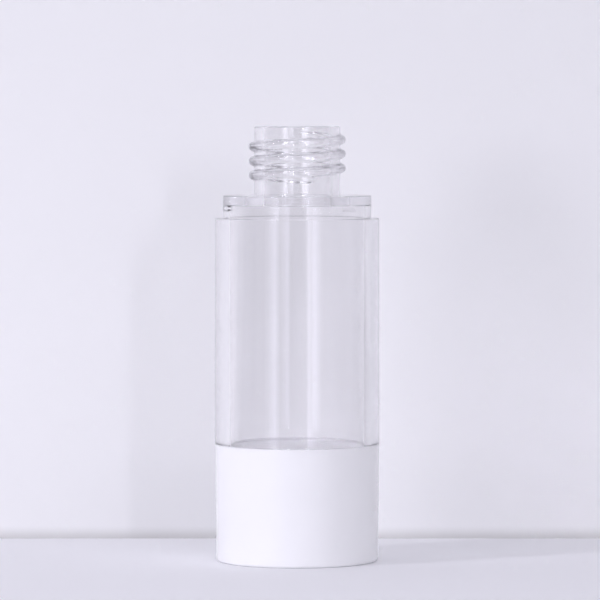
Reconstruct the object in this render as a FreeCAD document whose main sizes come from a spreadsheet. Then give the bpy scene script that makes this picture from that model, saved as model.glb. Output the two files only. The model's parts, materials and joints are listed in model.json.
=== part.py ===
import FreeCAD, Part
import os
import re

import Sketcher

# An airless bottle as it leaves the moulder: a clear body with a threaded neck, a white cup
# snapped on below it, and the follower piston that rises in the body's bore.
# Millimetres, +Z up, origin at the centre of the foot ring.

# Driving dimensions: lengths in millimetres, angles in degrees, the rest counts and turns.
DIMENSIONS = {
    # Base cup
    "cup_height": 23.5,
    "cup_rim_inset": 0.05,
    "cup_draft": 0.25,
    "cup_floor": 1.6,
    "foot_recess": 0.9,
    "foot_ring_width": 2.8,
    "foot_edge_radius": 0.7,
    "vent_diameter": 2.4,
    "rib_height": 0.8,
    "rib_width": 1.2,
    "rib_length": 5.0,
    "rib_count": 6,
    "rib_clearance": 0.2,
    # Snap joint between the cup and the skirt of the body
    "fit_clearance": 0.05,
    "seam_edge_radius": 0.3,
    "lead_in_chamfer": 0.4,
    "snap_rise": 12.0,
    "snap_radius": 0.6,
    "snap_proud": 0.25,
    # Clear body
    "bore_diameter": 26.8,
    "skirt_wall": 1.3,
    "skirt_end_gap": 0.3,
    "barrel_wall": 3.1,
    "barrel_draft": 0.1,
    "barrel_height": 45.1,
    "shelf_edge_radius": 0.3,
    "collar_wall": 1.4,
    "collar_height": 4.5,
    "collar_edge_radius": 0.35,
    "plate_thickness": 1.85,
    "chamber_corner_radius": 0.5,
    "neck_bore_diameter": 13.4,
    "neck_wall": 1.9,
    "neck_height": 13.8,
    "neck_edge_radius": 0.4,
    # Neck thread: right-hand, one start, a round bead that sinks into the neck at both ends
    "thread_depth": 1.1,
    "thread_bead_radius": 0.95,
    "thread_pitch": 2.85,
    "thread_fade_turns": 0.125,
    "thread_fade_sink": 0.15,
    "thread_start_rise": 3.3,
    "thread_end_drop": 2.18,
    "thread_start_angle": 90,
    # Lugs on the collar that hold an overcap
    "lug_proud": 0.2,
    "lug_radius": 0.725,
    "lug_drop": 2.5,
    "lug_span": 16,
    "lug_start_angle": 74,
    "lug_count": 3,
    # How far the root of a bead is buried in the wall that carries it
    "bead_root": 0.3,
    # Follower piston
    "piston_height": 14.9,
    "piston_clearance": 0.05,
    "piston_seat_gap": 0.2,
    "piston_wall": 1.0,
    "lip_land": 0.8,
    "lip_flare": 2.8,
    "lip_relief": 0.8,
    "lip_thickness": 0.7,
    "lip_edge_radius": 0.2,
    "lip_groove_width": 0.85,
    "lip_groove_depth": 2.2,
    "crown_thickness": 1.2,
    "crown_edge_radius": 0.3,
    "dish_rim_width": 5.0,
    "dish_depth": 1.0,
    "web_depth": 5.0,
    "web_thickness": 0.9,
    "web_count": 6,
}

# Sizes and places that follow from the driving dimensions. Heights are in the frame of their own piece.
DERIVED = {
    # Base cup, from the foot ring up
    "floor_top": "foot_recess + cup_floor",
    "cup_bore": "skirt_radius + fit_clearance",
    "rim_radius": "barrel_radius - cup_rim_inset",
    "foot_radius": "rim_radius - cup_draft",
    "recess_radius": "foot_radius - foot_ring_width",
    "rib_end": "bore_radius - rib_clearance",
    # Clear body, from the end of its skirt up
    "skirt_end": "floor_top + skirt_end_gap",
    "bore_radius": "bore_diameter / 2",
    "skirt_radius": "bore_radius + skirt_wall",
    "barrel_radius": "bore_radius + barrel_wall",
    "shelf_radius": "barrel_radius - barrel_draft",
    "collar_radius": "bore_radius + collar_wall",
    "neck_bore_radius": "neck_bore_diameter / 2",
    "neck_radius": "neck_bore_radius + neck_wall",
    "joint_level": "cup_height - skirt_end",
    "shelf_level": "joint_level + barrel_height",
    "plate_top": "shelf_level + collar_height",
    "plate_underside": "plate_top - plate_thickness",
    "neck_top": "plate_top + neck_height",
    "thread_radius": "neck_radius + thread_depth",
    "thread_start_level": "plate_top + thread_start_rise",
    "thread_end_level": "neck_top - thread_end_drop",
    "thread_turns": "(thread_end_level - thread_start_level) / thread_pitch",
    "thread_end_angle": "thread_start_angle + 360 * thread_turns",
    "thread_fade_drop": "thread_depth + thread_fade_sink",
    "thread_fade_rise": "thread_pitch * thread_fade_turns",
    # Follower piston, from its lower lip up
    "piston_seat": "floor_top + rib_height + piston_seat_gap",
    "lip_radius": "bore_radius - piston_clearance",
    "lip_inside": "lip_radius - lip_thickness",
    "waist_radius": "lip_radius - lip_relief",
    "piston_inside": "waist_radius - piston_wall",
    "groove_radius": "waist_radius - lip_thickness",
    "crown_radius": "groove_radius - lip_groove_width",
    "crown_underside": "piston_height - crown_thickness",
    "dish_radius": "crown_radius - dish_rim_width",
    "dish_floor": "piston_height - dish_depth",
    "boss_radius": "dish_radius + crown_thickness",
}

# Two edges count as the same ring when they agree to this many decimals
RING_DECIMALS = 5

doc = FreeCAD.newDocument("airless_bottle")
sheet = doc.addObject("Spreadsheet::Sheet", "dims")
for row, (alias, number) in enumerate(DIMENSIONS.items(), start=1):
    sheet.set(f"A{row}", alias.replace("_", " "))
    sheet.set(f"B{row}", str(number))
    sheet.setAlias(f"B{row}", alias)
doc.recompute()


def expression(words):
    """The sheet expression for a sum of named sizes, with derived names opened up."""

    def open_name(found):
        name = found.group()
        if name in DERIVED:
            return "(" + expression(DERIVED[name]) + ")"
        return "dims." + name

    return re.sub(r"[a-z][a-z_]*\b(?!\()", open_name, words)


def value(words):
    """The present value of a sum of named sizes."""
    return float(sheet.evalExpression(expression(words)))


def bind(item, **properties):
    """Tie properties of a feature to sums of named sizes."""
    for name, words in properties.items():
        item.setExpression(name, expression(words))


def new_body(label, rise=None):
    """An empty body, lifted to its height in the assembly."""
    body = doc.addObject("PartDesign::Body", label)
    body.Label = label
    if rise:
        body.setExpression("Placement.Base.z", expression(rise))
    return body


def origin_item(body, role):
    """The origin plane or axis of a body that has this role."""
    return next(item for item in body.Origin.OriginFeatures if item.Role == role)


def new_sketch(body, name, role, turn=None, rise=None):
    """An empty sketch on an origin plane, turned about the body's axis or lifted off the plane."""
    sketch = body.newObject("Sketcher::SketchObject", name)
    sketch.AttachmentSupport = (origin_item(body, role), [""])
    sketch.MapMode = "FlatFace"
    if turn:
        upright = FreeCAD.Rotation(FreeCAD.Vector(0, 1, 0), value(turn))
        sketch.AttachmentOffset = FreeCAD.Placement(FreeCAD.Vector(), upright)
        sketch.setExpression("AttachmentOffset.Rotation.Angle", expression(turn))
    if rise:
        sketch.setExpression("AttachmentOffset.Base.z", expression(rise))
    return sketch


def place_point(sketch, geometry, point, across, along):
    """Hold a point of a sketch at named distances from the sketch's origin."""
    for kind, words in (("DistanceX", across), ("DistanceY", along)):
        if words is not None:
            held = Sketcher.Constraint(kind, -1, 1, geometry, point, value(words))
            number = sketch.addConstraint(held)
            sketch.setExpression(f"Constraints[{number}]", expression(words))


def outline(sketch, corners):
    """A closed outline through corners that are given as sums of named sizes."""
    points = [FreeCAD.Vector(value(across), value(along), 0) for across, along in corners]
    for start, end in zip(points, points[1:] + points[:1]):
        sketch.addGeometry(Part.LineSegment(start, end), False)
    for side in range(len(corners)):
        following = (side + 1) % len(corners)
        sketch.addConstraint(Sketcher.Constraint("Coincident", side, 2, following, 1))
    for side, (across, along) in enumerate(corners):
        place_point(sketch, side, 1, across, along)
    return sketch


def bead_section(body, name, crest, radius, level, root, turn=None):
    """The section of a round bead on a wall: an arc that reaches the crest, closed by a chord at the root."""
    sketch = new_sketch(body, name, "XZ_Plane", turn)
    middle = f"{crest} - ({radius})"
    offset = value(f"{root} - ({middle})")
    half_chord = (value(radius) ** 2 - offset**2) ** 0.5
    low = FreeCAD.Vector(value(root), value(level) - half_chord, 0)
    high = FreeCAD.Vector(value(root), value(level) + half_chord, 0)
    summit = FreeCAD.Vector(value(crest), value(level), 0)
    arc = sketch.addGeometry(Part.Arc(low, summit, high), False)
    chord = sketch.addGeometry(Part.LineSegment(high, low), False)
    sketch.addConstraint(Sketcher.Constraint("Coincident", arc, 2, chord, 1))
    sketch.addConstraint(Sketcher.Constraint("Coincident", chord, 2, arc, 1))
    size = sketch.addConstraint(Sketcher.Constraint("Radius", arc, value(radius)))
    sketch.setExpression(f"Constraints[{size}]", expression(radius))
    place_point(sketch, arc, 3, middle, level)
    place_point(sketch, arc, 1, root, None)
    place_point(sketch, arc, 2, root, None)
    return sketch


def spin(body, kind, name, sketch, span="360"):
    """Turn a section about the body's axis, evenly to both sides of its plane."""
    feature = body.newObject("PartDesign::" + kind, name)
    feature.Profile = sketch
    feature.ReferenceAxis = (sketch, ["V_Axis"])
    feature.Midplane = True
    bind(feature, Angle=span)
    doc.recompute()
    return feature


def ring_place(radius, level):
    """The place of a ring, rounded so that two readings of it compare as equal."""
    return round(radius, RING_DECIMALS), round(level, RING_DECIMALS)


def ring_names(feature, rings):
    """The names of a feature's circular edges at the given (radius, height) places."""
    wanted = {ring_place(value(radius), value(level)) for radius, level in rings}
    names = []
    for number, edge in enumerate(feature.Shape.Edges, start=1):
        curve = edge.Curve
        if isinstance(curve, Part.Circle) and ring_place(curve.Radius, curve.Center.z) in wanted:
            names.append(f"Edge{number}")
    if len(names) != len(wanted):
        raise ValueError(f"{feature.Name}: {len(names)} of {len(wanted)} rings found")
    return names


def dress_rings(body, kind, name, base, rings, size):
    """Fillet or chamfer the circular edges at the given places."""
    feature = body.newObject("PartDesign::" + kind, name)
    feature.Base = (base, ring_names(base, rings))
    bind(feature, **{"Radius" if kind == "Fillet" else "Size": size})
    doc.recompute()
    return feature


def spread(body, name, feature, count):
    """Repeat a feature evenly round the body's axis."""
    pattern = body.newObject("PartDesign::PolarPattern", name)
    pattern.Originals = [feature]
    pattern.Axis = (origin_item(body, "Z_Axis"), [""])
    bind(pattern, Angle="360", Occurrences=count)
    body.Tip = pattern
    doc.recompute()
    return pattern


def radial_bar(body, name, inner, outer, width, level, height, downward=False):
    """A straight bar that lies along the X axis, padded up or down from a level."""
    sketch = new_sketch(body, name + "_outline", "XY_Plane", rise=level)
    half = f"({width}) / 2"
    outline(sketch, [(inner, "-" + half), (outer, "-" + half), (outer, half), (inner, half)])
    bar = body.newObject("PartDesign::Pad", name)
    bar.Profile = sketch
    bar.Reversed = downward
    bind(bar, Length=height)
    doc.recompute()
    return bar


def base_cup():
    """White cup: drafted wall, floor with a vent, foot ring, seat ribs and a snap groove."""
    body = new_body("base_cup")
    wall = outline(
        new_sketch(body, "cup_section", "XZ_Plane"),
        [
            ("vent_diameter / 2", "foot_recess"),
            ("recess_radius", "foot_recess"),
            ("recess_radius", "0"),
            ("foot_radius", "0"),
            ("rim_radius", "cup_height"),
            ("cup_bore", "cup_height"),
            ("cup_bore", "floor_top"),
            ("vent_diameter / 2", "floor_top"),
        ],
    )
    shell = spin(body, "Revolution", "cup_shell", wall)
    foot = dress_rings(body, "Fillet", "foot_edge", shell, [("foot_radius", "0")], "foot_edge_radius")
    rim = dress_rings(body, "Fillet", "rim_edge", foot, [("rim_radius", "cup_height")], "seam_edge_radius")
    lead = dress_rings(body, "Chamfer", "rim_lead_in", rim, [("cup_bore", "cup_height")], "lead_in_chamfer")
    groove_section = bead_section(
        body,
        "snap_groove_section",
        "skirt_radius + snap_proud + fit_clearance",
        "snap_radius + fit_clearance",
        "floor_top + snap_rise",
        "skirt_radius - bead_root",
    )
    groove = spin(body, "Groove", "snap_groove", groove_section)
    if groove.Shape.Volume >= lead.Shape.Volume:
        raise ValueError("snap_groove cut nothing")
    rib_start = "rib_end - rib_length"
    rib = radial_bar(body, "seat_rib", rib_start, "rib_end", "rib_width", "floor_top", "rib_height")
    spread(body, "seat_ribs", rib, "rib_count")
    return body


def add_thread(body):
    """The neck's bead thread: the full turns, then a short fade into the neck at each end."""

    def section(name, level, turn):
        root = "neck_radius - bead_root"
        return bead_section(body, name, "thread_radius", "thread_bead_radius", level, root, turn)

    low = section("thread_start_section", "thread_start_level", "thread_start_angle")
    high = section("thread_end_section", "thread_end_level", "thread_end_angle")
    fade_angle = "-atan(thread_fade_drop / thread_fade_rise)"
    for name, sketch, turns, angle, downward in (
        ("thread", low, "thread_turns", "0", False),
        ("thread_lead_in", low, "thread_fade_turns", fade_angle, True),
        ("thread_run_out", high, "thread_fade_turns", fade_angle, False),
    ):
        helix = body.newObject("PartDesign::AdditiveHelix", name)
        helix.Profile = sketch
        helix.ReferenceAxis = (sketch, ["V_Axis"])
        helix.Mode = "pitch-turns-angle"
        helix.Reversed = downward
        bind(helix, Pitch="thread_pitch", Turns=turns, Angle=angle)
        doc.recompute()


def bottle_body():
    """Clear body: skirt, barrel, shelf, collar with lugs, shoulder plate and threaded neck."""
    body = new_body("bottle_body", rise="skirt_end")
    wall = outline(
        new_sketch(body, "body_section", "XZ_Plane"),
        [
            ("bore_radius", "0"),
            ("skirt_radius", "0"),
            ("skirt_radius", "joint_level"),
            ("barrel_radius", "joint_level"),
            ("shelf_radius", "shelf_level"),
            ("collar_radius", "shelf_level"),
            ("collar_radius", "plate_top"),
            ("neck_radius", "plate_top"),
            ("neck_radius", "neck_top"),
            ("neck_bore_radius", "neck_top"),
            ("neck_bore_radius", "plate_underside"),
            ("bore_radius", "plate_underside"),
        ],
    )
    shell = spin(body, "Revolution", "body_shell", wall)
    neck_rings = [("neck_radius", "neck_top"), ("neck_bore_radius", "neck_top")]
    edges = dress_rings(body, "Fillet", "neck_edges", shell, neck_rings, "neck_edge_radius")
    for name, ring, size in (
        ("barrel_foot_edge", ("barrel_radius", "joint_level"), "seam_edge_radius"),
        ("shelf_edge", ("shelf_radius", "shelf_level"), "shelf_edge_radius"),
        ("collar_edge", ("collar_radius", "plate_top"), "collar_edge_radius"),
        ("chamber_corner", ("bore_radius", "plate_underside"), "chamber_corner_radius"),
    ):
        edges = dress_rings(body, "Fillet", name, edges, [ring], size)
    skirt_rings = [("bore_radius", "0"), ("skirt_radius", "0")]
    dress_rings(body, "Chamfer", "skirt_lead_in", edges, skirt_rings, "lead_in_chamfer")
    snap_section = bead_section(
        body,
        "snap_bead_section",
        "skirt_radius + snap_proud",
        "snap_radius",
        "snap_rise - skirt_end_gap",
        "skirt_radius - bead_root",
    )
    spin(body, "Revolution", "snap_bead", snap_section)
    add_thread(body)
    lug_section = bead_section(
        body,
        "lug_section",
        "collar_radius + lug_proud",
        "lug_radius",
        "plate_top - lug_drop",
        "collar_radius - bead_root",
        "lug_start_angle",
    )
    lug = spin(body, "Revolution", "cap_lug", lug_section, "lug_span")
    spread(body, "cap_lugs", lug, "lug_count")
    return body


def follower_piston():
    """White piston: two wiping lips on a relieved skirt, a dished crown and webs under it."""
    body = new_body("follower_piston", rise="piston_seat")
    wall = outline(
        new_sketch(body, "piston_section", "XZ_Plane"),
        [
            ("lip_inside", "0"),
            ("lip_radius", "0"),
            ("lip_radius", "lip_land"),
            ("waist_radius", "lip_flare"),
            ("waist_radius", "piston_height - lip_flare"),
            ("lip_radius", "piston_height - lip_land"),
            ("lip_radius", "piston_height"),
            ("lip_inside", "piston_height"),
            ("groove_radius", "piston_height - lip_groove_depth"),
            ("crown_radius", "piston_height"),
            ("dish_radius", "piston_height"),
            ("dish_radius", "dish_floor"),
            ("0", "dish_floor"),
            ("0", "dish_floor - crown_thickness"),
            ("boss_radius", "dish_floor - crown_thickness"),
            ("boss_radius", "crown_underside"),
            ("crown_radius - crown_thickness", "crown_underside"),
            ("piston_inside", "crown_underside - lip_groove_depth"),
            ("piston_inside", "lip_flare"),
        ],
    )
    shell = spin(body, "Revolution", "piston_shell", wall)
    crown_rings = [("crown_radius", "piston_height"), ("dish_radius", "piston_height")]
    crown = dress_rings(body, "Fillet", "crown_edges", shell, crown_rings, "crown_edge_radius")
    lip_rings = [("lip_radius", "0"), ("lip_radius", "piston_height")]
    dress_rings(body, "Fillet", "lip_edges", crown, lip_rings, "lip_edge_radius")
    web = radial_bar(
        body,
        "crown_web",
        "dish_radius + crown_thickness / 2",
        "piston_inside + piston_wall / 2",
        "web_thickness",
        "crown_underside + crown_thickness / 2",
        "web_depth + crown_thickness / 2",
        downward=True,
    )
    spread(body, "crown_webs", web, "web_count")
    return body


bodies = [base_cup(), bottle_body(), follower_piston()]
doc.recompute()

for item in doc.Objects:
    if "Invalid" in item.State or "Error" in item.State:
        raise ValueError(f"{item.Label} failed: {item.State}")
for body in bodies:
    if body.Shape.isNull() or not body.Shape.isValid() or len(body.Shape.Solids) != 1:
        raise ValueError(f"{body.Label} is not one valid solid")

os.makedirs("parts", exist_ok=True)
for body in bodies:
    body.Shape.exportStep(f"parts/{body.Label}.step")
    print(body.Label, round(body.Shape.Volume), "cubic millimetres")
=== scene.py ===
import json
import math

import bmesh
import bpy
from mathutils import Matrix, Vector


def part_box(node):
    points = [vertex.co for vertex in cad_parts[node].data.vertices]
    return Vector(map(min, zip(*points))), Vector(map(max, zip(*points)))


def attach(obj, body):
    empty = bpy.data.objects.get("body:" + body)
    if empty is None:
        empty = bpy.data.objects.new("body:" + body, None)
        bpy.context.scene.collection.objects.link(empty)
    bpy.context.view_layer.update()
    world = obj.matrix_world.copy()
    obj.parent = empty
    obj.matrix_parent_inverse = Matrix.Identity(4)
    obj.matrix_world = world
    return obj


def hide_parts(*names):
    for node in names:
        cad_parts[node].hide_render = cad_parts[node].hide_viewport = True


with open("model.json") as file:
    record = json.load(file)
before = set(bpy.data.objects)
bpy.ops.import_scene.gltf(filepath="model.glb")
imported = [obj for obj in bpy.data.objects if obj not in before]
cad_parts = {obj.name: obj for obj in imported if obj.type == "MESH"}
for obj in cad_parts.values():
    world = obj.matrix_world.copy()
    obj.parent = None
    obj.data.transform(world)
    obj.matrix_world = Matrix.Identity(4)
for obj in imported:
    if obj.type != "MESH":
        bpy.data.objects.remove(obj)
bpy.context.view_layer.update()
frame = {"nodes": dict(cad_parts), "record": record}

# A clear airless bottle with a white base cup, standing close to a pale wall. Metres, +Z up.
MM = 0.001

# Sizes read from the frame
mounts = {mount["name"]: mount for mount in frame["record"]["mounts"]}
cup_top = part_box("base_cup")[1].z
body_low, body_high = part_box("bottle_body")
BARREL_RADIUS = body_high.x
NECK_BORE_RADIUS = mounts["neck_bore"]["dims"]["r_mm"] * MM
COLLAR_RADIUS = mounts["cap_collar"]["dims"]["r_mm"] * MM
THREAD_RADIUS = mounts["neck_thread"]["dims"]["r_mm"] * MM

# Clear body
BORE_RADIUS = 13.4 * MM
SKIRT_RADIUS = 14.7 * MM
BARREL_DRAFT = 0.1 * MM
SHELF_RADIUS = BARREL_RADIUS - BARREL_DRAFT
SHELF_LEVEL = 68.6 * MM
PLATE_TOP = 73.1 * MM
PLATE_THICKNESS = 1.85 * MM
NECK_RADIUS = 8.6 * MM
SEAM_GAP = 0.03 * MM
SEAM_ROUND = 0.03 * MM
SHELF_ROUND = 0.1 * MM
COLLAR_ROUND = 0.12 * MM
NECK_ROUND = 0.4 * MM
ROOT_ROUND = 0.08 * MM
CHAMBER_ROUND = 0.15 * MM
SKIRT_ROUND = 0.3 * MM

# Bead on the skirt that holds the cup
SNAP_LEVEL = 14.5 * MM
SNAP_RADIUS = 0.6 * MM
SNAP_PROUD = 0.25 * MM

# Neck thread. Turns run anticlockwise from +X, seen from above.
THREAD_PITCH = 2.85 * MM
THREAD_BEAD = 0.95 * MM
THREAD_START_RISE = 3.3 * MM
THREAD_END_DROP = 2.18 * MM
THREAD_START = PLATE_TOP + THREAD_START_RISE
THREAD_END = body_high.z - THREAD_END_DROP
THREAD_START_TURN = 0.25
THREAD_FADE_TURNS = 0.125
THREAD_FADE_SINK = 0.15 * MM
THREAD_BLEND = 0.12 * MM

# Lugs on the collar, with angles as for the thread
LUG_COUNT = 3
LUG_FIRST_ANGLE = math.radians(74)
LUG_HALF_SPAN = math.radians(8)
LUG_END_SPAN = math.radians(3)
LUG_DROP = 2.5 * MM
LUG_LEVEL = PLATE_TOP - LUG_DROP
LUG_RADIUS = 0.725 * MM
LUG_PROUD = 0.2 * MM

# Mesh density
SEGMENTS = 288
ARC_STEPS = 6
EDGE_INSET = 0.02 * MM
THREAD_STEP = 0.12 * MM
BEAD_STEP = 0.1 * MM
SHARP_ANGLE = math.radians(35)


def rounded_corner(before, corner, after, rounding):
    """Points of an arc that rounds a corner between two neighbours."""
    to_before = (before - corner).normalized()
    to_after = (after - corner).normalized()
    half = to_before.angle(to_after) / 2
    reach = rounding / math.tan(half)
    start = corner + to_before * reach
    middle = corner + (to_before + to_after).normalized() * (rounding / math.sin(half))
    sweep = math.pi - 2 * half
    arm = start - middle
    turn = 1 if arm.cross(-to_before) > 0 else -1
    points = []
    for step in range(ARC_STEPS + 1):
        angle = turn * sweep * step / ARC_STEPS
        cosine, sine = math.cos(angle), math.sin(angle)
        spoke = Vector((arm.x * cosine - arm.y * sine, arm.x * sine + arm.y * cosine))
        points.append(middle + spoke)
    return points


def outline_points(corners):
    """A closed outline of (radius, height, rounding, step, wall) corners as (point, wall) pairs.

    The stretch after a corner is divided into steps where one is given, and carries the wall's name.
    A plain stretch gets a point just inside each end, so that its shading stays flat between them."""
    places = [Vector((corner[0], corner[1])) for corner in corners]
    count = len(corners)
    arcs = []
    for index, (_, _, rounding, _, _) in enumerate(corners):
        before, after = places[index - 1], places[(index + 1) % count]
        if rounding:
            arcs.append(rounded_corner(before, places[index], after, rounding))
        else:
            arcs.append([places[index]])
    points = []
    for index, (_, _, _, step, wall) in enumerate(corners):
        points += [(point, None) for point in arcs[index]]
        start, end = arcs[index][-1], arcs[(index + 1) % count][0]
        length = (end - start).length
        if step:
            rows = max(1, round(length / step))
            points += [(start.lerp(end, row / rows), wall) for row in range(1, rows)]
        else:
            inset = EDGE_INSET / length
            points += [(start.lerp(end, inset), None), (start.lerp(end, 1 - inset), None)]
    return points


def turned_mesh(name, points, swells):
    """A solid of revolution from a closed outline, with named walls swollen by their functions."""
    mesh = bpy.data.meshes.new(name)
    work = bmesh.new()
    rings = []
    for segment in range(SEGMENTS):
        angle = 2 * math.pi * segment / SEGMENTS
        ring = []
        for point, wall in points:
            radius = point.x + (swells[wall](angle, point.y) if wall else 0.0)
            ring.append(work.verts.new((radius * math.cos(angle), radius * math.sin(angle), point.y)))
        rings.append(ring)
    count = len(points)
    for segment in range(SEGMENTS):
        here, there = rings[segment], rings[(segment + 1) % SEGMENTS]
        for index in range(count):
            following = (index + 1) % count
            work.faces.new((here[index], there[index], there[following], here[following]))
    bmesh.ops.recalc_face_normals(work, faces=work.faces)
    work.to_mesh(mesh)
    work.free()
    mesh.shade_smooth()
    mesh.set_sharp_from_angle(angle=SHARP_ANGLE)
    piece = bpy.data.objects.new(name, mesh)
    bpy.context.collection.objects.link(piece)
    return piece


def smooth_step(share):
    """Eases a share from 0 to 1 with level ends."""
    share = min(1.0, max(0.0, share))
    return share * share * (3 - 2 * share)


def smooth_rise(height):
    """A height above a wall, blended into the wall by a small fillet."""
    blend = max(THREAD_BLEND - abs(height), 0.0) / THREAD_BLEND
    return max(height, 0.0) + blend * blend * THREAD_BLEND / 4


def thread_swell(angle, level):
    """How far the thread stands out of the neck at an angle and height."""
    turns = (THREAD_END - THREAD_START) / THREAD_PITCH
    depth = THREAD_RADIUS - NECK_RADIUS
    best = -depth
    first = angle / (2 * math.pi) - THREAD_START_TURN
    for lap in range(-1, math.ceil(turns) + 2):
        travel = first + lap
        off_axis = level - (THREAD_START + THREAD_PITCH * travel)
        if abs(off_axis) < THREAD_BEAD and -THREAD_FADE_TURNS <= travel <= turns + THREAD_FADE_TURNS:
            past_end = max(-travel, travel - turns, 0.0) / THREAD_FADE_TURNS
            sink = smooth_step(past_end) * (depth + THREAD_FADE_SINK)
            crown = math.sqrt(THREAD_BEAD**2 - off_axis**2) - THREAD_BEAD
            best = max(best, depth - sink + crown)
    return smooth_rise(best)


def bead_rise(off_axis, radius, proud):
    """How far a round bead stands out of its wall at a distance from its axis."""
    return max(0.0, proud - radius + math.sqrt(max(0.0, radius**2 - off_axis**2)))


def snap_swell(angle, level):
    """How far the snap bead stands out of the skirt at a height; it is the same all round."""
    return bead_rise(level - SNAP_LEVEL, SNAP_RADIUS, SNAP_PROUD)


def lug_swell(angle, level):
    """How far a cap lug stands out of the collar at an angle and height."""
    crown = bead_rise(level - LUG_LEVEL, LUG_RADIUS, LUG_PROUD)
    best = 0.0
    for number in range(LUG_COUNT):
        lug = LUG_FIRST_ANGLE + 2 * math.pi * number / LUG_COUNT
        away = abs((angle - lug + math.pi) % (2 * math.pi) - math.pi)
        best = max(best, crown * smooth_step((LUG_HALF_SPAN - away) / LUG_END_SPAN))
    return best


SWELLS = {"skirt": snap_swell, "collar": lug_swell, "neck": thread_swell}


def bottle_body(material):
    """The clear moulding: skirt, barrel, collar with lugs, shoulder plate and threaded neck."""
    plate_underside = PLATE_TOP - PLATE_THICKNESS
    points = outline_points([
        (BORE_RADIUS, body_low.z, SKIRT_ROUND, None, None),
        (SKIRT_RADIUS, body_low.z, SKIRT_ROUND, None, None),
        (SKIRT_RADIUS, SNAP_LEVEL - SNAP_RADIUS, 0, BEAD_STEP, "skirt"),
        (SKIRT_RADIUS, SNAP_LEVEL + SNAP_RADIUS, 0, None, None),
        (SKIRT_RADIUS, cup_top + SEAM_GAP, 0, None, None),
        (BARREL_RADIUS, cup_top + SEAM_GAP, SEAM_ROUND, None, None),
        (SHELF_RADIUS, SHELF_LEVEL, SHELF_ROUND, None, None),
        (COLLAR_RADIUS, SHELF_LEVEL, ROOT_ROUND, BEAD_STEP, "collar"),
        (COLLAR_RADIUS, PLATE_TOP, COLLAR_ROUND, None, None),
        (NECK_RADIUS, PLATE_TOP, ROOT_ROUND, THREAD_STEP, "neck"),
        (NECK_RADIUS, body_high.z, NECK_ROUND, None, None),
        (NECK_BORE_RADIUS, body_high.z, NECK_ROUND, None, None),
        (NECK_BORE_RADIUS, plate_underside, 0, None, None),
        (BORE_RADIUS, plate_underside, CHAMBER_ROUND, None, None),
    ])
    piece = turned_mesh("clear_body", points, SWELLS)
    piece.data.materials.append(material)
    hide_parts("bottle_body")
    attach(piece, "bottle")


def new_material(name):
    """A material with its node tree and Principled shader."""
    material = bpy.data.materials.new(name)
    material.use_nodes = True
    return material, material.node_tree, material.node_tree.nodes["Principled BSDF"]


def coordinates(tree, kind):
    """Texture coordinates of a kind, as a vector socket."""
    return tree.nodes.new("ShaderNodeTexCoord").outputs[kind]


def vector_parts(tree, vector):
    """The X, Y and Z of a vector socket, as three sockets."""
    node = tree.nodes.new("ShaderNodeSeparateXYZ")
    tree.links.new(vector, node.inputs["Vector"])
    return node.outputs["X"], node.outputs["Y"], node.outputs["Z"]


def noise(tree, scale, detail=3.0, stretch=(1, 1, 1)):
    """A noise pattern in object space, as a factor socket."""
    mapping = tree.nodes.new("ShaderNodeMapping")
    mapping.inputs["Scale"].default_value = stretch
    texture = tree.nodes.new("ShaderNodeTexNoise")
    texture.inputs["Scale"].default_value = scale
    texture.inputs["Detail"].default_value = detail
    tree.links.new(coordinates(tree, "Object"), mapping.inputs["Vector"])
    tree.links.new(mapping.outputs["Vector"], texture.inputs["Vector"])
    return texture.outputs["Fac"]


def remap(tree, factor, low, high):
    """A factor stretched to run between two values."""
    node = tree.nodes.new("ShaderNodeMapRange")
    node.inputs["To Min"].default_value = low
    node.inputs["To Max"].default_value = high
    tree.links.new(factor, node.inputs["Value"])
    return node.outputs["Result"]


def smooth_range(tree, value, start, end):
    """A value eased from 0 at its start to 1 at its end."""
    node = tree.nodes.new("ShaderNodeMapRange")
    node.interpolation_type = "SMOOTHSTEP"
    node.inputs["From Min"].default_value = start
    node.inputs["From Max"].default_value = end
    tree.links.new(value, node.inputs["Value"])
    return node.outputs["Result"]


def calculate(tree, operation, *values):
    """The result of an operation on one or two values."""
    node = tree.nodes.new("ShaderNodeMath")
    node.operation = operation
    for socket, value in zip(node.inputs, values):
        tree.links.new(value, socket)
    return node.outputs["Value"]


def axis_distance(tree, vector):
    """How far a place lies from the bottle's axis."""
    x, y, _ = vector_parts(tree, vector)
    squares = [calculate(tree, "MULTIPLY", part, part) for part in (x, y)]
    return calculate(tree, "SQRT", calculate(tree, "ADD", *squares))


def bump(tree, factor, strength, distance):
    """A bump from a factor, as a normal socket."""
    node = tree.nodes.new("ShaderNodeBump")
    node.inputs["Strength"].default_value = strength
    node.inputs["Distance"].default_value = distance
    tree.links.new(factor, node.inputs["Height"])
    return node.outputs["Normal"]


# Places of the colour sockets on a Mix node, which share their names with its other sockets
MIX_FIRST = 6
MIX_SECOND = 7
MIX_RESULT = 2


def tint(tree, factor, first, second):
    """A colour that varies between two colours with a factor."""
    node = tree.nodes.new("ShaderNodeMix")
    node.data_type = "RGBA"
    tree.links.new(factor, node.inputs["Factor"])
    node.inputs[MIX_FIRST].default_value = (*first, 1)
    node.inputs[MIX_SECOND].default_value = (*second, 1)
    return node.outputs[MIX_RESULT]


# Clear plastic
CLEAR_IOR = 1.57
CLEAR_ROUGHNESS = (0.03, 0.08)
CLEAR_GRAIN = 900
CLEAR_COLOUR = (1.0, 1.0, 1.0)
CLEAR_TINT = (0.975, 0.972, 0.976)
CLEAR_TINT_SHARES = (0.667, 1.0)
SKIRT_TINT_SPAN = 0.5 * MM
DEPTH_COLOUR = (0.0, 0.0, 0.1, 1)
DEPTH_DENSITY = 6.0
FLOW_SCALE = 60
FLOW_DETAIL = 2.0
FLOW_STRETCH = (1, 1, 0.3)
FLOW_STRENGTH = 0.05
FLOW_HEIGHT = 0.02 * MM

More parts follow.
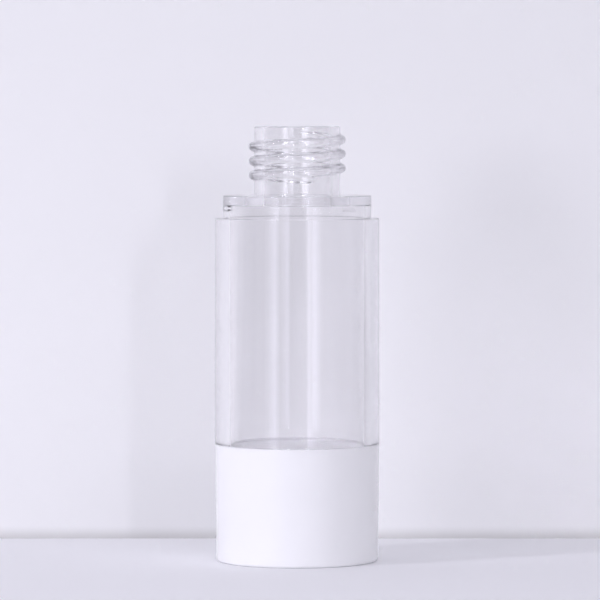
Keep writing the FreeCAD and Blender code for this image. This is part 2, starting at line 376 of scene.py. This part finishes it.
# White plastics of the cup and the piston
SURFACE_GRAIN = 1500
BUMP_GRAIN = 2500
CUP_CLOUD = 120
CUP_COLOUR = (0.86, 0.86, 0.865)
# Painted light: the inside of the cup is painted paler than its outside, to brighten its shaded bore
CUP_INSIDE_PAINTED_LIGHT = (0.97, 0.97, 0.975)
CUP_CLOUD_SHARES = (0.75, 1.0)
CUP_INSIDE_RADIUS = SKIRT_RADIUS + 0.1 * MM
CUP_OUTSIDE_RADIUS = CUP_INSIDE_RADIUS + 0.1 * MM
CUP_ROUGHNESS = (0.12, 0.2)
CUP_BUMP_STRENGTH = 0.03
CUP_BUMP_HEIGHT = 0.02 * MM
PISTON_CLOUD = 160
PISTON_COLOURS = ((0.92, 0.92, 0.93), (0.95, 0.95, 0.96))
PISTON_ROUGHNESS = (0.35, 0.5)
PISTON_BUMP_STRENGTH = 0.08
PISTON_BUMP_HEIGHT = 0.03 * MM


def clear_plastic():
    """Polished clear plastic with a faint flow pattern, darker with depth and clearer at the thin skirt."""
    material, tree, shader = new_material("clear_plastic")
    shader.inputs["Transmission Weight"].default_value = 1.0
    shader.inputs["IOR"].default_value = CLEAR_IOR
    flow = noise(tree, FLOW_SCALE, FLOW_DETAIL, FLOW_STRETCH)
    height = vector_parts(tree, coordinates(tree, "Object"))[2]
    thick = smooth_range(tree, height, cup_top - SKIRT_TINT_SPAN, cup_top)
    depth = calculate(tree, "MULTIPLY", remap(tree, flow, *CLEAR_TINT_SHARES), thick)
    tree.links.new(tint(tree, depth, CLEAR_COLOUR, CLEAR_TINT), shader.inputs["Base Color"])
    tree.links.new(remap(tree, noise(tree, CLEAR_GRAIN), *CLEAR_ROUGHNESS), shader.inputs["Roughness"])
    tree.links.new(bump(tree, flow, FLOW_STRENGTH, FLOW_HEIGHT), shader.inputs["Normal"])
    inside = tree.nodes.new("ShaderNodeVolumeAbsorption")
    inside.inputs["Color"].default_value = DEPTH_COLOUR
    inside.inputs["Density"].default_value = DEPTH_DENSITY
    tree.links.new(inside.outputs["Volume"], tree.nodes["Material Output"].inputs["Volume"])
    return material


def white_face(tree, shader, colour, roughness, strength, height):
    """Finishes a white plastic with its colour, a fine grain in its gloss and a slight bump."""
    tree.links.new(colour, shader.inputs["Base Color"])
    tree.links.new(remap(tree, noise(tree, SURFACE_GRAIN), *roughness), shader.inputs["Roughness"])
    tree.links.new(bump(tree, noise(tree, BUMP_GRAIN), strength, height), shader.inputs["Normal"])


def white_plastic():
    """Opaque white moulded plastic with a gloss face, with painted light that makes the inside of the cup
    paler than its outside.
    """
    material, tree, shader = new_material("white_plastic")
    radius = axis_distance(tree, coordinates(tree, "Object"))
    outside = smooth_range(tree, radius, CUP_INSIDE_RADIUS, CUP_OUTSIDE_RADIUS)
    cloud = calculate(tree, "MULTIPLY", remap(tree, noise(tree, CUP_CLOUD), *CUP_CLOUD_SHARES), outside)
    # Painted light inside the cup; the cup's own colour and cloud outside
    colour = tint(tree, cloud, CUP_INSIDE_PAINTED_LIGHT, CUP_COLOUR)
    white_face(tree, shader, colour, CUP_ROUGHNESS, CUP_BUMP_STRENGTH, CUP_BUMP_HEIGHT)
    return material


def piston_plastic():
    """Waxy white plastic of the piston."""
    material, tree, shader = new_material("piston_plastic")
    colour = tint(tree, noise(tree, PISTON_CLOUD), *PISTON_COLOURS)
    white_face(tree, shader, colour, PISTON_ROUGHNESS, PISTON_BUMP_STRENGTH, PISTON_BUMP_HEIGHT)
    return material


def dress_node(node, material):
    """Gives a CAD node a finished material."""
    piece = frame["nodes"][node]
    for slot in piece.material_slots:
        slot.material = material


# Stage: a board on a floor, and a wall, with painted shade that greys the floor away from the bottle and
# darkens the wall's foot
FLOOR_COLOUR = (0.93, 0.93, 0.95)
# Painted shade: the floor greys from its pale colour between FADE_START and FADE_END from the bottle's axis
FAR_FLOOR_SHADE_COLOUR = (0.4, 0.4, 0.41)
FLOOR_ROUGHNESS = 0.7
FLOOR_SPECULAR = 0.1
FADE_START = 0.15
FADE_END = 0.55
FLOOR_REACH = 1.3
BOARD_REACH = 1.2
BOARD_BACK = 44 * MM
BOARD_THICKNESS = 2.7 * MM
WALL_COLOUR = (0.85, 0.85, 0.85)
# Painted shade: the wall's foot is painted darker, as the shadow in the corner behind the board
WALL_FOOT_SHADE_COLOUR = (0.57, 0.565, 0.55)
WALL_FOOT_SHADE_RISE = 0.6 * MM
WALL_ROUGHNESS = 0.8
WALL_PLACE = 68 * MM
WALL_REACH = 2.5
WALL_TOP = 2.0


def floor_paint():
    """A pale matt floor with painted shade that greys it with distance from the bottle."""
    material, tree, shader = new_material("stage_floor")
    spot = tree.nodes.new("ShaderNodeNewGeometry")
    away = axis_distance(tree, spot.outputs["Position"])
    # Painted shade, greying the floor away from the bottle
    fade = smooth_range(tree, away, FADE_START, FADE_END)
    tree.links.new(tint(tree, fade, FLOOR_COLOUR, FAR_FLOOR_SHADE_COLOUR), shader.inputs["Base Color"])
    shader.inputs["Roughness"].default_value = FLOOR_ROUGHNESS
    shader.inputs["Specular IOR Level"].default_value = FLOOR_SPECULAR
    return material


def wall_paint():
    """A pale matt wall with painted shade that darkens its foot, which shows only its front."""
    material, tree, shader = new_material("stage_wall")
    shader.inputs["Roughness"].default_value = WALL_ROUGHNESS
    spot = tree.nodes.new("ShaderNodeNewGeometry")
    height = vector_parts(tree, spot.outputs["Position"])[2]
    # Painted shade at the wall's foot
    rise = smooth_range(tree, height, -BOARD_THICKNESS - WALL_FOOT_SHADE_RISE, WALL_FOOT_SHADE_RISE)
    tree.links.new(tint(tree, rise, WALL_FOOT_SHADE_COLOUR, WALL_COLOUR), shader.inputs["Base Color"])
    open_back = tree.nodes.new("ShaderNodeBsdfTransparent")
    mix = tree.nodes.new("ShaderNodeMixShader")
    tree.links.new(spot.outputs["Backfacing"], mix.inputs["Fac"])
    tree.links.new(shader.outputs["BSDF"], mix.inputs[1])
    tree.links.new(open_back.outputs["BSDF"], mix.inputs[2])
    tree.links.new(mix.outputs["Shader"], tree.nodes["Material Output"].inputs["Surface"])
    return material


def stage_sheet(name, corners, material):
    """A flat sheet of the stage."""
    mesh = bpy.data.meshes.new(name)
    mesh.from_pydata(corners, [], [(0, 1, 2, 3)])
    mesh.materials.append(material)
    piece = bpy.data.objects.new(name, mesh)
    bpy.context.collection.objects.link(piece)


def level_sheet(name, reach, back, level, material):
    """A level sheet of the stage."""
    corners = [(-reach, -reach, level), (reach, -reach, level), (reach, back, level), (-reach, back, level)]
    stage_sheet(name, corners, material)


def upright_sheet(name, reach, depth, low, high, material):
    """An upright sheet of the stage at one depth."""
    corners = [(-reach, depth, low), (reach, depth, low), (reach, depth, high), (-reach, depth, high)]
    stage_sheet(name, corners, material)


def stage():
    """A pale board on a pale floor, and a pale wall."""
    floor_material = floor_paint()
    level_sheet("board", BOARD_REACH, BOARD_BACK, 0, floor_material)
    upright_sheet("board_edge", BOARD_REACH, BOARD_BACK, -BOARD_THICKNESS, 0, floor_material)
    level_sheet("floor", FLOOR_REACH, FLOOR_REACH, -BOARD_THICKNESS, floor_material)
    upright_sheet("wall", WALL_REACH, WALL_PLACE, -BOARD_THICKNESS, WALL_TOP, wall_paint())


# Upright lamps: azimuth from the front, half width, low edge and high edge in degrees, and radiance
LIGHT_TINT = (0.964, 0.946, 1.06)
KEY_DISTANCE = 1.2
LEFT_KEY = (-60, 1.5, 19, 22, 345)
LEFT_PANEL = (-35, 6.5, 5, 16, 9)
STRIP_DISTANCE = 3.0
RIGHT_STRIP = (15.4, 1, 5, 14, 42)

# Cards beside the camera, in strips from their inner edges outwards; angles in degrees
CARD_DISTANCE = 0.3
CARD_STRIP = 4.0
CARD_SPLIT = 12.5
CARD_TOP = 20.0
CARD_TOP_GAIN = 1.9
LEFT_CARD_EDGE = -28.5
LEFT_CARD_RADIANCES = (1.55, 1.3, 0.85, 0.5)
RIGHT_CARD_EDGE = 14.5
RIGHT_CARD_RADIANCES = (1.35, 1.0, 0.6, 0.3)

# Softbox, with its azimuth and elevation in degrees
SOFTBOX_SIZE = 1.8
SOFTBOX_DISTANCE = 2.5
SOFTBOX_AZIMUTH = 24
SOFTBOX_ELEVATION = 30
SOFTBOX_RADIANCE = 0.95

# Room light and its dark gap in front. The gap's soft sides and tops are in degrees from straight ahead,
# and its back is given by the Y of a direction.
ROOM_STRENGTH = 0.395
GAP_STRENGTH = 0.02
GAP_SIDE = (9, 14)
GAP_TOP = (7, 12)
GAP_BACK = (-0.5, 0.0)


def upright_lamp(name, distance, azimuth, half_width, low, high, radiance):
    """An upright lamp round the bottle, given by angles in degrees; the camera doesn't see it."""
    turn = math.radians(azimuth)
    bottom, top = (distance * math.tan(math.radians(angle)) for angle in (low, high))
    data = bpy.data.lights.new(name, "AREA")
    data.shape = "RECTANGLE"
    data.size = 2 * distance * math.tan(math.radians(half_width))
    data.size_y = top - bottom
    data.energy = math.pi * data.size * data.size_y * radiance
    data.color = LIGHT_TINT
    piece = bpy.data.objects.new(name, data)
    piece.location = (distance * math.sin(turn), -distance * math.cos(turn), (bottom + top) / 2)
    piece.rotation_euler = (math.radians(90), 0, turn)
    piece.visible_camera = False
    bpy.context.collection.objects.link(piece)


def card(name, inner_edge, radiances):
    """A dim card beside the camera, in strips that fade outwards and are brighter at the top."""
    side = 1 if inner_edge > 0 else -1
    half = CARD_STRIP / 2
    for number, radiance in enumerate(radiances):
        azimuth = inner_edge + side * CARD_STRIP * (number + 0.5)
        strip = f"{name}_{number}"
        top_radiance = radiance * CARD_TOP_GAIN
        upright_lamp(strip, CARD_DISTANCE, azimuth, half, 0, CARD_SPLIT, radiance)
        upright_lamp(f"{strip}_top", CARD_DISTANCE, azimuth, half, CARD_SPLIT, CARD_TOP, top_radiance)


def softbox(name, azimuth, elevation, radiance):
    """A broad square lamp above the horizon that faces the bottle."""
    turn, rise = math.radians(azimuth), math.radians(elevation)
    data = bpy.data.lights.new(name, "AREA")
    data.size = SOFTBOX_SIZE
    data.energy = math.pi * SOFTBOX_SIZE**2 * radiance
    data.color = LIGHT_TINT
    level = SOFTBOX_DISTANCE * math.cos(rise)
    place = Vector((level * math.sin(turn), -level * math.cos(turn), SOFTBOX_DISTANCE * math.sin(rise)))
    piece = bpy.data.objects.new(name, data)
    piece.location = place
    piece.rotation_euler = (-place).to_track_quat("-Z", "Y").to_euler()
    piece.visible_camera = False
    bpy.context.collection.objects.link(piece)


def room():
    """A dim room all round, with a dark gap in front where the photographer stands."""
    world = bpy.data.worlds.new("room")
    world.use_nodes = True
    tree = world.node_tree
    x, y, z = vector_parts(tree, coordinates(tree, "Generated"))
    side_start, side_end = (math.sin(math.radians(edge)) for edge in GAP_SIDE)
    top_start, top_end = (math.sin(math.radians(edge)) for edge in GAP_TOP)
    beside = smooth_range(tree, calculate(tree, "ABSOLUTE", x), side_start, side_end)
    above = smooth_range(tree, calculate(tree, "ABSOLUTE", z), top_start, top_end)
    behind = smooth_range(tree, y, *GAP_BACK)
    outside = calculate(tree, "MAXIMUM", calculate(tree, "MAXIMUM", beside, above), behind)
    background = tree.nodes["Background"]
    background.inputs["Color"].default_value = (*LIGHT_TINT, 1)
    tree.links.new(remap(tree, outside, GAP_STRENGTH, ROOM_STRENGTH), background.inputs["Strength"])
    bpy.context.scene.world = world


def lights():
    """A hard key and a panel at the left, a strip and a softbox at the right, two cards and the room."""
    upright_lamp("left_key", KEY_DISTANCE, *LEFT_KEY)
    upright_lamp("left_panel", KEY_DISTANCE, *LEFT_PANEL)
    upright_lamp("right_strip", STRIP_DISTANCE, *RIGHT_STRIP)
    card("left_card", LEFT_CARD_EDGE, LEFT_CARD_RADIANCES)
    card("right_card", RIGHT_CARD_EDGE, RIGHT_CARD_RADIANCES)
    softbox("front_softbox", SOFTBOX_AZIMUTH, SOFTBOX_ELEVATION, SOFTBOX_RADIANCE)
    room()


# Camera, in the photograph's frame
IMAGE_PIXELS = 600
FOCAL_PIXELS = 4408
SENSOR_MM = 36
CAMERA_PLACE = Vector((0.56, -880.0, 92.0)) * MM
CAMERA_TARGET = Vector((0.56, 0.0, 52.2)) * MM
LIGHT_BOUNCES = 24


def camera():
    """The photograph's view, with light paths that pass through all the walls of the clear body."""
    data = bpy.data.cameras.new("camera")
    data.sensor_width = SENSOR_MM
    data.lens = FOCAL_PIXELS / IMAGE_PIXELS * SENSOR_MM
    piece = bpy.data.objects.new("camera", data)
    piece.location = CAMERA_PLACE
    piece.rotation_euler = (CAMERA_TARGET - CAMERA_PLACE).to_track_quat("-Z", "Y").to_euler()
    bpy.context.collection.objects.link(piece)
    bpy.context.scene.camera = piece
    bpy.context.scene.view_settings.view_transform = "Standard"
    cycles = bpy.context.scene.cycles
    cycles.blur_glossy = 0
    cycles.sample_clamp_indirect = 0
    cycles.max_bounces = LIGHT_BOUNCES
    cycles.glossy_bounces = LIGHT_BOUNCES
    cycles.transmission_bounces = LIGHT_BOUNCES


camera()
stage()
lights()
bottle_body(clear_plastic())
dress_node("base_cup", white_plastic())
dress_node("follower_piston", piston_plastic())
